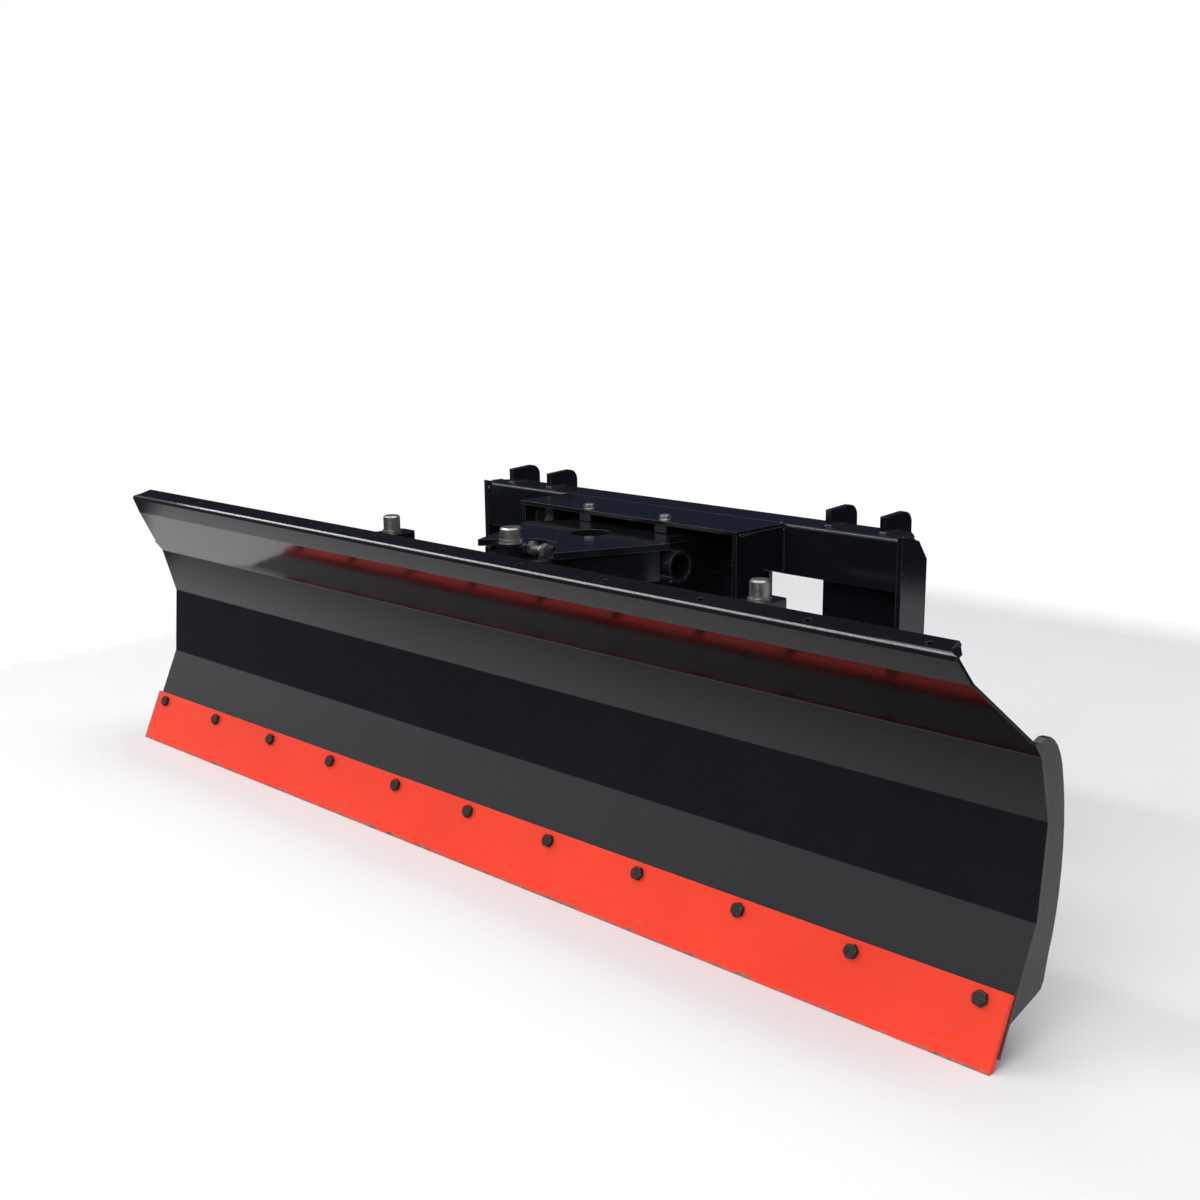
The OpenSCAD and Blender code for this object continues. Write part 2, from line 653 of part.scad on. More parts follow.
moldboard();
cutting_edge();
edge_backing_bar();
edge_bolts();
edge_washers();
edge_nuts();
end_plate_left();
end_plate_right();
moldboard_ribs();
stiffener_tubes();
hub_tube();
hub_side_plates();
hub_lug_upper();
hub_lug_lower();
hub_bushes();
hub_grease_nipples();
ear_bracket_left();
ear_bracket_right();
rod_pins();
rod_pin_spacers();
rod_pin_washers();
rod_pin_roll_pins();
top_beam();
side_plate_left();
side_plate_right();
leg_plates();
lower_cross_tube();
hook_plates();
hang_bars();
lock_lugs();
box_back_plate();
box_wall_left();
box_wall_right();
box_cover();
cover_bolts();
cover_nut_blocks();
hose_grommet();
push_top_plate();
push_webs();
push_rear_gussets();
push_nose_plate();
push_bottom_plate();
push_post();
cross_tube();
barrel_lugs();
barrel_pins();
barrel_pin_clips();
king_pin();
king_collar();
keeper_bolt();
keeper_nut();
king_pin_washer();
king_pin_roll_pin();
barrel_left();
barrel_right();
gland_left();
gland_right();
rod_left();
rod_right();
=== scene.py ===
"""Looks for the ATV plow blade: materials, weld beads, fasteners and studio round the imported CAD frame."""

import json
import math
import random
from collections import namedtuple

import bmesh
import bpy
from mathutils import Matrix, Vector
from mathutils.bvhtree import BVHTree


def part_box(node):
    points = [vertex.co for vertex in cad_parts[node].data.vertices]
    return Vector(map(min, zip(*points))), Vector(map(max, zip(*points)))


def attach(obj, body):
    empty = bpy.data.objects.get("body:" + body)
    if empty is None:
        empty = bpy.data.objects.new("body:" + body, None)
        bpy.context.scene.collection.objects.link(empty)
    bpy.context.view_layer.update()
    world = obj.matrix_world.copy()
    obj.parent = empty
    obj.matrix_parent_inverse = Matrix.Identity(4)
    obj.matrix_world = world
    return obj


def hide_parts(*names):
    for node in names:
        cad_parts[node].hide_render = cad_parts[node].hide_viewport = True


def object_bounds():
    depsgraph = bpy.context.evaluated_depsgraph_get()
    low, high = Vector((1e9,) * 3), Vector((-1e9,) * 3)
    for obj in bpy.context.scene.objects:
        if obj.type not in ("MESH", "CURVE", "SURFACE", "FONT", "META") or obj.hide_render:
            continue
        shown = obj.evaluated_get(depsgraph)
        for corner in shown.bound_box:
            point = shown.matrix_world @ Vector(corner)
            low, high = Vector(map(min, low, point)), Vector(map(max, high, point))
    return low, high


MM = 0.001
TURN = 2 * math.pi
WHITE = (1, 1, 1, 1)
MIX_FACTOR, MIX_A, MIX_B, MIX_COLOUR = 0, 6, 7, 2  # a colour mix node's inputs, then its output

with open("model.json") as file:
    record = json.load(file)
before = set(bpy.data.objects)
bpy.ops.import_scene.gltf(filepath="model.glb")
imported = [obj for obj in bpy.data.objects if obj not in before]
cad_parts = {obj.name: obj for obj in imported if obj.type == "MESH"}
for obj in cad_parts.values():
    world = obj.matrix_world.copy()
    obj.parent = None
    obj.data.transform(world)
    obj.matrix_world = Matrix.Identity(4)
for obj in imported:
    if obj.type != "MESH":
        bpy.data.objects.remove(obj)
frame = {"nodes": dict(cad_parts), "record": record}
NODES = frame["nodes"]
BODIES = frame["record"]["behaviour"]["bodies"]
SLOT_OF = {s["node"]: s["material_slot"] for s in frame["record"]["subparts"]}
BODY_OF = {n: b for b, members in BODIES.items() for n in members}
CAD_LOW, CAD_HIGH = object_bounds()


# ---------------------------------------------------------------- node helpers
def feed(tree, socket, value):
    """Links a node output to the socket, or gives the socket a plain value."""
    if hasattr(value, "is_linked"):
        tree.links.new(value, socket)
    else:
        socket.default_value = value


def calculate(tree, operation, a, b):
    made = tree.nodes.new("ShaderNodeMath")
    made.operation = operation
    for socket, value in zip(made.inputs, (a, b)):
        feed(tree, socket, value)
    return made.outputs[0]


def blend(tree, factor, a, b):
    """Colour a where the factor is 0, colour b where it is 1."""
    made = tree.nodes.new("ShaderNodeMix")
    made.data_type = "RGBA"
    for index, value in ((MIX_FACTOR, factor), (MIX_A, a), (MIX_B, b)):
        feed(tree, made.inputs[index], value)
    return made.outputs[MIX_COLOUR]


def remap(tree, source, low, high, a, b, kind="LINEAR"):
    """The source from low to high mapped to a to b, and held at the ends."""
    made = tree.nodes.new("ShaderNodeMapRange")
    made.interpolation_type = kind
    made.clamp = True
    tree.links.new(source, made.inputs["Value"])
    for name, value in (("From Min", low), ("From Max", high), ("To Min", a), ("To Max", b)):
        made.inputs[name].default_value = value
    return made.outputs[0]


# ---------------------------------------------------------------- materials
class Shader:
    """A node material with short helpers for procedural textures in object space."""

    def __init__(self, name, **sockets):
        self.mat = bpy.data.materials.new(name)
        self.mat.use_nodes = True
        self.tree = self.mat.node_tree
        self.bsdf = self.tree.nodes["Principled BSDF"]
        self.where = self.tree.nodes.new("ShaderNodeTexCoord").outputs["Object"]
        for socket, value in sockets.items():
            self.bsdf.inputs[socket.replace("_", " ")].default_value = value

    def node(self, kind, **inputs):
        """A new node with the named inputs linked or set."""
        made = self.tree.nodes.new(kind)
        for name, value in inputs.items():
            feed(self.tree, made.inputs[name], value)
        return made

    def noise(self, scale, detail=2.0, rough=0.5, stretch=(1, 1, 1), distortion=0.0):
        place = self.node("ShaderNodeMapping", Vector=self.where, Scale=stretch)
        made = self.node("ShaderNodeTexNoise", Vector=place.outputs[0], Scale=scale, Detail=detail,
                         Roughness=rough, Distortion=distortion)
        return made.outputs["Fac"]

    def ramp(self, source, low, high, a=0.0, b=1.0):
        return remap(self.tree, source, low, high, a, b)

    def math(self, operation, a, b):
        return calculate(self.tree, operation, a, b)

    def mix(self, factor, a, b):
        return blend(self.tree, factor, a, b)

    def xyz(self):
        """The object-space X, Y and Z outputs."""
        return self.node("ShaderNodeSeparateXYZ", Vector=self.where).outputs

    def bump(self, height, distance, strength, normal=None):
        """A normal raised by the height; given another normal, it is laid over that one."""
        made = self.node("ShaderNodeBump", Height=height, Distance=distance, Strength=strength)
        if normal is not None:
            self.tree.links.new(normal, made.inputs["Normal"])
        return made.outputs[0]

    def soft_edge(self, radius, samples=6):
        """A normal that rolls over sharp edges, so that they catch the light."""
        bevel = self.tree.nodes.new("ShaderNodeBevel")
        bevel.samples = samples
        bevel.inputs["Radius"].default_value = radius
        return bevel.outputs[0]

    def edge_wear(self, radius, low, high):
        """1 on worn edges, 0 on open faces, broken up by noise."""
        rolled = self.soft_edge(radius, samples=4)
        normal = self.tree.nodes.new("ShaderNodeNewGeometry").outputs["Normal"]
        dot = self.tree.nodes.new("ShaderNodeVectorMath")
        dot.operation = "DOT_PRODUCT"
        self.tree.links.new(rolled, dot.inputs[0])
        self.tree.links.new(normal, dot.inputs[1])
        off = self.math("SUBTRACT", 1.0, dot.outputs["Value"])
        return self.ramp(self.math("MULTIPLY", off, self.noise(160, 4, 0.7)), low, high)

    def set(self, **sockets):
        """Links the surface's named inputs, and returns the finished material."""
        for name, source in sockets.items():
            self.tree.links.new(source, self.bsdf.inputs[name.replace("_", " ")])
        return self.mat


def paint(name, colour, lighter, rough, peel=900.0, gloss=0.5):
    """Gloss powder coat: orange peel, faint cloudiness, a trace of dust, and rounded edges worn grey."""
    rim = 0.0012
    dusty = (0.13, 0.13, 0.13, 1)
    rubbed = (0.17, 0.17, 0.165, 1)
    s = Shader(name, Specular_IOR_Level=gloss)
    cloud = s.noise(3.5, 3, 0.55)
    body = s.mix(s.ramp(cloud, 0.35, 0.7), colour, lighter)
    dust = s.ramp(s.noise(38, 6, 0.72, distortion=0.6), 0.56, 0.85, 0.0, 0.035)
    body = s.mix(dust, body, dusty)
    worn = s.edge_wear(rim, 0.10, 0.16)
    body = s.mix(s.math("MULTIPLY", worn, 0.55), body, rubbed)
    smear = s.noise(9, 4, 0.6, stretch=(1, 1, 3.0))
    smear = s.ramp(smear, 0.3, 0.75, rough - 0.015, rough + 0.03)
    normal = s.soft_edge(rim)
    normal = s.bump(s.noise(peel / 4.5, 2, 0.5), 0.00012, 0.14, normal)
    normal = s.bump(s.noise(peel, 2, 0.5), 0.00005, 0.22, normal)
    roughness = s.math("ADD", smear, s.math("MULTIPLY", worn, 0.2))
    return s.set(Base_Color=body, Roughness=roughness, Normal=normal)


def orange_paint():
    """Cutting edge: satin orange with steel showing along the scuffed foot and fine travel scratches."""
    deep, bright = (0.76, 0.029, 0.005, 1), (0.83, 0.039, 0.008, 1)
    grimy = (0.42, 0.035, 0.012, 1)
    clean_steel, rusty_steel = (0.24, 0.23, 0.22, 1), (0.10, 0.075, 0.06, 1)
    s = Shader("edge_orange", Specular_IOR_Level=0.4)
    z = s.xyz()["Z"]
    tone = s.mix(s.ramp(s.noise(5, 3), 0.3, 0.7), deep, bright)
    grime = s.ramp(s.noise(24, 6, 0.7, stretch=(0.5, 1, 1)), 0.55, 0.8, 0.0, 0.22)
    tone = s.mix(grime, tone, grimy)
    ragged = s.math("ADD", z, s.math("MULTIPLY", s.noise(70, 6, 0.75, stretch=(0.5, 1, 1)), -0.022))
    foot = s.ramp(ragged, -0.0115, -0.0075, 1.0, 0.0)
    scratch = s.ramp(s.noise(420, 2, 0.6, stretch=(0.03, 1, 1)), 0.66, 0.70)
    near_foot = s.ramp(z, 0.006, 0.05, 1.0, 0.0)
    bare = s.math("MAXIMUM", foot, s.math("MULTIPLY", scratch, s.math("MULTIPLY", near_foot, 0.6)))
    steel = s.mix(s.ramp(s.noise(60, 4, 0.6), 0.4, 0.7), clean_steel, rusty_steel)
    rough = s.ramp(s.noise(30, 4, 0.6), 0.3, 0.7, 0.30, 0.42)
    normal = s.bump(s.noise(700, 2), 0.00006, 0.5, s.soft_edge(0.0008))
    normal = s.bump(bare, 0.00012, 0.5, normal)
    return s.set(Base_Color=s.mix(bare, tone, steel), Roughness=rough, Normal=normal,
                 Metallic=s.math("MULTIPLY", bare, 0.8))


def zinc():
    """Clear zinc plate: soft mottling, machining rings and a faint warm bloom."""
    s = Shader("zinc", Metallic=0.95)
    tone = s.mix(s.ramp(s.noise(90, 4, 0.65), 0.35, 0.7), (0.30, 0.30, 0.285, 1), (0.46, 0.46, 0.44, 1))
    tone = s.mix(s.ramp(s.noise(28, 2), 0.5, 0.8, 0.0, 0.5), tone, (0.36, 0.33, 0.27, 1))
    rough = s.ramp(s.noise(220, 4, 0.6), 0.3, 0.7, 0.26, 0.44)
    rings = s.noise(900, 2, 0.5, stretch=(0.15, 0.15, 1))
    return s.set(Base_Color=tone, Roughness=rough, Normal=s.bump(rings, 0.00008, 0.5))


def black_oxide():
    """Bolt black: mottled, a little rough, part metal."""
    s = Shader("black_bolt", Metallic=0.6)
    tone = s.mix(s.ramp(s.noise(260, 4, 0.7), 0.4, 0.7), (0.018, 0.018, 0.019, 1), (0.055, 0.052, 0.050, 1))
    rough = s.ramp(s.noise(300, 4, 0.6), 0.3, 0.7, 0.30, 0.50)
    return s.set(Base_Color=tone, Roughness=rough, Normal=s.bump(s.noise(1200, 2), 0.00005, 0.6))


def bronze():
    """Bush bronze with darker and lighter grains."""
    s = Shader("bronze", Metallic=1.0)
    tone = s.mix(s.ramp(s.noise(400, 5, 0.7), 0.4, 0.65), (0.36, 0.21, 0.09, 1), (0.52, 0.34, 0.16, 1))
    return s.set(Base_Color=tone, Roughness=s.ramp(s.noise(300, 3), 0.3, 0.7, 0.34, 0.5))


def rubber():
    """Matt rubber, greyed by dust in patches, with a fine grain."""
    s = Shader("rubber_black", Specular_IOR_Level=0.35)
    tone = s.mix(s.ramp(s.noise(120, 5, 0.7), 0.45, 0.75), (0.010, 0.010, 0.010, 1), (0.045, 0.044, 0.042, 1))
    return s.set(Base_Color=tone, Roughness=s.ramp(s.noise(90, 4), 0.3, 0.7, 0.62, 0.82),
                 Normal=s.bump(s.noise(1500, 2), 0.0001, 0.4))


def chrome():
    """Hard chrome with faint polishing marks."""
    s = Shader("rod_chrome", Metallic=1.0)
    tone = s.mix(s.ramp(s.noise(60, 3), 0.4, 0.7), (0.74, 0.75, 0.77, 1), (0.82, 0.83, 0.84, 1))
    rough = s.ramp(s.noise(700, 2, stretch=(0.1, 1, 1)), 0.3, 0.7, 0.05, 0.12)
    marks = s.noise(900, 2, stretch=(2.0, 0.2, 0.2))
    return s.set(Base_Color=tone, Roughness=rough, Normal=s.bump(marks, 0.00001, 0.4))


MATERIALS = {
    "board_paint": paint("board_paint", (0.0058, 0.0058, 0.0072, 1), (0.0082, 0.0084, 0.0100, 1),
                         rough=0.065, gloss=0.36),
    "frame_paint": paint("frame_paint", (0.0048, 0.0054, 0.0074, 1), (0.0072, 0.0080, 0.0102, 1),
                         rough=0.10),
    "cylinder_paint": paint("cylinder_paint", (0.0060, 0.0060, 0.0066, 1), (0.0085, 0.0085, 0.0090, 1),
                            rough=0.10, peel=600.0),
    "edge_orange": orange_paint(),
    "black_bolt": black_oxide(),
    "zinc": zinc(),
    "bronze": bronze(),
    "rubber_black": rubber(),
    "rod_chrome": chrome(),
}


# ---------------------------------------------------------------- CAD nodes
for node, o in NODES.items():
    o.data.materials.clear()
    o.data.materials.append(MATERIALS[SLOT_OF[node]])

# ---------------------------------------------------------------- weld beads and fasteners
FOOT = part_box("cutting_edge")[0].y
BOLT_COUNT, BOLT_PITCH = 11, 176  # the row of edge bolts
Span = namedtuple("Span", "x0 y0 z0 x1 y1 z1")


def at(x, y, z):
    """A point given in millimetres from the middle of the cutting edge's foot."""
    return Vector((x * MM, FOOT + y * MM, z * MM))


def to_object(name, bm, material, body):
    """A smooth-shaded object made from the mesh, riding on a body."""
    mesh = bpy.data.meshes.new(name)
    bm.to_mesh(mesh)
    bm.free()
    for face in mesh.polygons:
        face.use_smooth = True
    mesh.materials.append(material)
    o = bpy.data.objects.new(name, mesh)
    bpy.context.scene.collection.objects.link(o)
    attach(o, body)
    return o


def rear_of_board():
    """A function that gives how far back the moldboard's rear face lies, in millimetres, at an x and a z."""
    tree = BVHTree.FromObject(NODES["moldboard"], bpy.context.evaluated_depsgraph_get())
    forward = Vector((0, -1, 0))

    def find(x, z):
        hit = tree.ray_cast(Vector((x * MM, CAD_HIGH.y + 1, z * MM)), forward)[0]
        return (hit.y - FOOT) / MM if hit else 0.0
    return find


class Beads:
    """Weld beads: rippled runs laid in the corner between two plates, collected into one mesh for a body."""

    SIDES = 10
    PITCH = 4.6
    SLANT = Vector((0.31, 0.52, 0.79))  # along no bead, so that it can square a bead's cross section

    def __init__(self, seed):
        self.bm = bmesh.new()
        self.dice = random.Random(seed)

    def run(self, points, radius, closed=False, step=1.5):
        """One bead through the points, in millimetres, with tapered ends unless it is closed."""
        pts = [at(*p) for p in points]
        if closed:
            pts.append(pts[0])
        dense, total = [], 0.0
        for a, b in zip(pts, pts[1:]):
            n = max(1, round((b - a).length / (step * MM)))
            dense += [a.lerp(b, i / n) for i in range(n)]
        if not closed:
            dense.append(pts[-1])
        rings, count = [], len(dense)
        phase, drift = self.dice.uniform(0, 6), 0.0
        for i, p in enumerate(dense):
            before = dense[i - 1] if (closed or i) else dense[i]
            after = dense[(i + 1) % count] if (closed or i < count - 1) else dense[i]
            way = (after - before).normalized()
            side = way.cross(self.SLANT).normalized()
            up = way.cross(side)
            total += step / self.PITCH * TURN
            drift = 0.9 * drift + self.dice.uniform(-0.02, 0.02)
            end = 1.0 if closed else min(1.0, 0.45 + 0.22 * min(i, count - 1 - i))
            ring = []
            for k in range(self.SIDES):
                a = TURN * k / self.SIDES
                ripple = 0.075 * math.sin(total + phase + 0.9 * math.cos(a))
                swell = 1 + drift + ripple + self.dice.uniform(-0.012, 0.012)
                r = radius * MM * swell * end
                ring.append(self.bm.verts.new(p + side * (r * math.cos(a)) + up * (r * math.sin(a))))
            rings.append(ring)
        pairs = list(zip(rings, rings[1:])) + ([(rings[-1], rings[0])] if closed else [])
        for a, b in pairs:
            for k in range(self.SIDES):
                j = (k + 1) % self.SIDES
                self.bm.faces.new((a[k], a[j], b[j], b[k]))
        if not closed:
            self.bm.faces.new(rings[0])
            self.bm.faces.new(list(reversed(rings[-1])))

    def both(self, points, **how):
        """The run and its mirror image on the left."""
        self.run(points, **how)
        self.run([(-x, y, z) for x, y, z in points], **how)

    def done(self, name, body, material="frame_paint"):
        """The beads as one object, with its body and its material."""
        bmesh.ops.recalc_face_normals(self.bm, faces=self.bm.faces)
        return to_object(name, self.bm, MATERIALS[material], body)


def span(node):
    """The limits of a CAD node, in millimetres from the cutting edge's foot."""
    low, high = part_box(node)
    return Span(low.x / MM, (low.y - FOOT) / MM, low.z / MM, high.x / MM, (high.y - FOOT) / MM, high.z / MM)


def circle(radius, count):
    """Points round a circle, as pairs."""
    angles = [TURN * i / count for i in range(count)]
    return [(radius * math.cos(a), radius * math.sin(a)) for a in angles]


def ring_x(x, y, z, radius):
    """A ring round an axis along X."""
    return [(x, y + u, z + v) for u, v in circle(radius, 28)]


def ring_z(x, y, z, radius):
    """A ring round an axis along Z."""
    return [(x + u, y + v, z) for u, v in circle(radius, 28)]


def frame_welds():
    """Beads on the mount and the push frame, which are one body."""
    w = Beads(11)
    beam, cover, leg = span("top_beam"), span("box_cover"), span("leg_plates")
    w.run([(cover.x0 + 2, cover.y1 + 1.2, cover.z1 - 2.6), (cover.x1 - 2, cover.y1 + 1.2, cover.z1 - 2.6)],
          radius=4.2)
    w.both([(cover.x1 - 0.8, cover.y0 + 6, cover.z0), (cover.x1 - 0.8, cover.y1, cover.z0)], radius=2.4)
    wall_x = span("box_wall_right").x1
    w.both([(wall_x, beam.y0, beam.z0 + 2), (wall_x, beam.y0, cover.z0)], radius=3.4)
    # each side has two hook plates with a gap between them for the hang bar
    hook = span("hook_plates")
    plate, gap = 10, 88
    back = beam.y1 - 2
    for x in (hook.x1 - plate, hook.x1 - 2 * plate - gap):
        w.both([(x, back, beam.z1), (x, hook.y0, beam.z1), (x + plate, hook.y0, beam.z1),
                (x + plate, back, beam.z1)], radius=3.4)
    w.both([(beam.x1, beam.y0 + 4, beam.z1 - 1.5), (beam.x1, beam.y1 - 22, beam.z1 - 1.5)], radius=3.4)
    w.both([(beam.x1, beam.y0, beam.z0), (beam.x1, beam.y0, beam.z1 - 7)], radius=3.6)
    w.both([(beam.x1, beam.y0 + 8, beam.z0 + 4), (beam.x1, beam.y0 + 8, beam.z1 - 10),
            (beam.x1, beam.y1 - 14, beam.z1 - 10)], radius=3.2)
    tube_top = 146
    w.both([(leg.x1, leg.y1, tube_top), (leg.x1, leg.y1, leg.z1 - 2)], radius=3.8)
    w.both([(leg.x1, leg.y0, tube_top), (leg.x1, leg.y0, beam.z1 - 12)], radius=3.4)
    w.both([(leg.x1 - 4, leg.y1, leg.z1), (hook.x1 + 4, leg.y1, leg.z1)], radius=3.2)
    tube = span("lower_cross_tube")
    w.both([(tube.x1, tube.y0, tube.z0), (tube.x1, tube.y0, tube.z1), (tube.x1, tube.y1, tube.z1)],
           radius=3.8)
    w.both([(tube.x1, tube.y0, tube.z0), (tube.x1, tube.y1 - 2, tube.z0)], radius=3.4)
    panel = span("box_back_plate")
    for y in (panel.y0, panel.y1):
        w.run([(panel.x0 + 4, y, panel.z0), (panel.x1 - 4, y, panel.z0)], radius=3.4)
    w.run([(panel.x0 + 2, panel.y0 + 1.2, panel.z1), (panel.x1 - 2, panel.y0 + 1.2, panel.z1)], radius=3.0)
    bar = span("hang_bars")
    y, z = (bar.y0 + bar.y1) / 2, (bar.z0 + bar.z1) / 2
    for x in (bar.x1 - 1, bar.x1 - gap + 1):
        for s in (-1, 1):
            w.run(ring_x(s * x, y, z, (bar.z1 - bar.z0) / 2), radius=2.8, closed=True)
    lug = span("lock_lugs")
    lug_plate, lug_pair = 12, 77
    for inward in (0, lug_plate, lug_pair - lug_plate, lug_pair):
        x = lug.x1 - inward
        w.both([(x, leg.y1, lug.z0 + 6), (x, leg.y1, lug.z1 - 2)], radius=3.0)
    # push frame
    post, nose, base = span("push_post"), span("push_nose_plate"), span("push_bottom_plate")
    for z in (base.z1, nose.z0):
        w.run([(post.x0, post.y0, z), (post.x1, post.y0, z), (post.x1, post.y1, z), (post.x0, post.y1, z)],
              radius=3.2, closed=True)
    w.run([(base.x0 + 4, base.y1, base.z1), (base.x1 - 4, base.y1, base.z1)], radius=3.4)
    top, half = span("push_top_plate"), 115
    for z in (top.z0, top.z1):
        w.run([(-half, beam.y0, z), (half, beam.y0, z)], radius=3.4)
    lug = span("barrel_lugs")
    for z in (lug.z0, lug.z0 + lug_plate, lug.z1 - lug_plate, lug.z1):
        w.both([(post.x1, lug.y0, z), (post.x1, post.y1 - 2, z)], radius=2.8)
    w.done("welds_frame", BODY_OF["top_beam"])


def blade_welds():
    """Beads on the blade's back: ear brackets, ribs, stiffener tubes, end plates, hub and backing bar."""
    w, rear = Beads(23), rear_of_board()
    plate = 16
    ear = span("ear_bracket_right")
    mid = (ear.x0 + ear.x1) / 2
    for z in (ear.z1, ear.z1 - plate, ear.z0 + plate, ear.z0):
        y = rear(mid, z)
        half = 42 - 18 * y / 150
        w.both([(mid - half, y, z), (mid + half, y, z)], radius=3.2)
        for s in (-1, 1):
            w.both([(mid + s * half, y, z - 1), (mid + s * half, y, z + 1)], radius=3.0)
    ribs, rib = (200, 560, 745), 8
    rib_faces = [x for left in ribs for x in (left, left + rib)]
    for x in rib_faces:
        for low, high in ((116, 208), (278, 398)):
            w.both([(x, rear(x, z), z) for z in range(low, high, 6)], radius=3.0)
    tube = span("stiffener_tubes")
    front = tube.y0 - 6
    for x in rib_faces:
        w.both([(x, front, tube.z1), (x, tube.y1, tube.z1), (x, tube.y1, tube.z0), (x, front, tube.z0)],
               radius=2.8)
    x = span("end_plate_right").x0
    w.both([(x, rear(x, z), z) for z in range(60, 366, 6)], radius=3.4)
    w.both([(x, tube.y0, tube.z1), (x, tube.y1 - 1, tube.z1)], radius=2.6)
    x = span("hub_side_plates").x1
    w.both([(x, rear(x, z), z) for z in range(96, 408, 6)], radius=3.4)
    hub, upper, lower = span("hub_tube"), span("hub_lug_upper"), span("hub_lug_lower")
    for z in (upper.z0, lower.z1):
        w.run(ring_z(0, (hub.y0 + hub.y1) / 2, z, (hub.x1 - hub.x0) / 2), radius=3.0, closed=True)
    half = 60
    for z in (upper.z0, upper.z1, lower.z0, lower.z1):
        w.run([(x, rear(x, z), z) for x in range(-half, half + 1, 10)], radius=3.2)
    # a stitch above the backing bar between each pair of edge bolts
    z, stitch = span("edge_backing_bar").z1 - 0.5, 22
    for i in range(BOLT_COUNT - 1):
        x = (i - (BOLT_COUNT - 2) / 2) * BOLT_PITCH
        w.run([(x - stitch, rear(x, z), z), (x + stitch, rear(x, z), z)], radius=3.0)
    w.done("welds_blade", BODY_OF["moldboard"], "board_paint")


def barrel_welds():
    """On each cylinder, a bead round both port bosses and one round the barrel eye's block."""
    eye_radius, ports, boss = 24, (62, 213), 11
    block_x, block_y, block_z = 32, 17, 15
    axis_z = 330
    for side, s in (("right", 1), ("left", -1)):
        w = Beads(31 + s)
        barrel = span("barrel_" + side)
        y, r = (barrel.y0 + barrel.y1) / 2, (barrel.y1 - barrel.y0) / 2
        pin_x = min(abs(barrel.x0), abs(barrel.x1)) + eye_radius
        for reach in ports:
            w.run([(s * (pin_x + reach + u), y + v, axis_z + math.sqrt(r * r - v * v))
                   for u, v in circle(boss, 30)], radius=2.0, closed=True, step=1.2)
        corners = ((-1, -1), (1, -1), (1, 1), (-1, 1))
        w.run([(s * (pin_x + block_x), y + u * block_y, axis_z + v * block_z) for u, v in corners],
              radius=2.6, closed=True)
        w.done("welds_barrel_" + side, BODY_OF["barrel_" + side], "cylinder_paint")


def stack_rings(bm, rows, frame_matrix):
    """Skins closed rows of (x, y, z) points, in a local frame, into a capped solid."""
    rings = [[bm.verts.new(frame_matrix @ Vector(p)) for p in row] for row in rows]
    for a, b in zip(rings, rings[1:]):
        n = len(a)
        for k in range(n):
            j = (k + 1) % n
            bm.faces.new((a[k], a[j], b[j], b[k]))
    bm.faces.new(list(reversed(rings[0])))
    bm.faces.new(rings[-1])


def raised(rows, rise):
    """The rows moved along their axis by a rise in millimetres."""
    return [[(x, y, z + rise * MM) for x, y, z in row] for row in rows]


def hex_rows(flats, height, chamfer, turn, bottom=False):
    """A hexagon head whose top corners, and bottom ones if asked, are turned to a cone."""
    rows, sides, cone = [], 72, 1.75
    levels = [0.0, height * 0.5] + [height - chamfer * (1 - i / 5) for i in range(6)]
    for z in levels:
        row = []
        limit = flats / 2 * 0.965 + (height - z) * cone
        if bottom:
            limit = min(limit, flats / 2 * 0.975 + z * cone)
        for k in range(sides):
            a = TURN * k / sides
            face = ((a + turn) % (math.pi / 3)) - math.pi / 6
            radius = min(flats / 2 / math.cos(face), limit)
            row.append((radius * math.cos(a) * MM, radius * math.sin(a) * MM, z * MM))
        rows.append(row)
    top = rows[-1]
    for shrink in (0.93, 0.80, 0.45, 0.2):
        rows.append([(x * shrink, y * shrink, z) for x, y, z in top])
    return rows


def thread_rows(radius, z0, z1):
    """A threaded shank from z0 to z1, narrowing a little over its last turn."""
    pitch, depth, sides = 1.5, 0.42, 24
    rows, steps = [], max(2, round((z1 - z0) / pitch * 5))
    for i in range(steps + 1):
        z = z0 + (z1 - z0) * i / steps
        taper = min(1.0, 0.86 + 0.14 * (z1 - z) / 1.2)
        row = []
        for k in range(sides):
            a = TURN * k / sides
            r = radius * taper - depth * (0.5 + 0.5 * math.cos(TURN * z / pitch - a))
            row.append((r * math.cos(a) * MM, r * math.sin(a) * MM, z * MM))
        rows.append(row)
    return rows


def round_rows(radius, z0, z1, sides=32, soft=0.4):
    """A round bar or disc from z0 to z1 with softened rims."""
    rows = []
    for r, z in ((radius - soft, z0), (radius, z0 + soft), (radius, z1 - soft), (radius - soft, z1)):
        rows.append([(x * MM, y * MM, z * MM) for x, y in circle(r, sides)])
    return rows


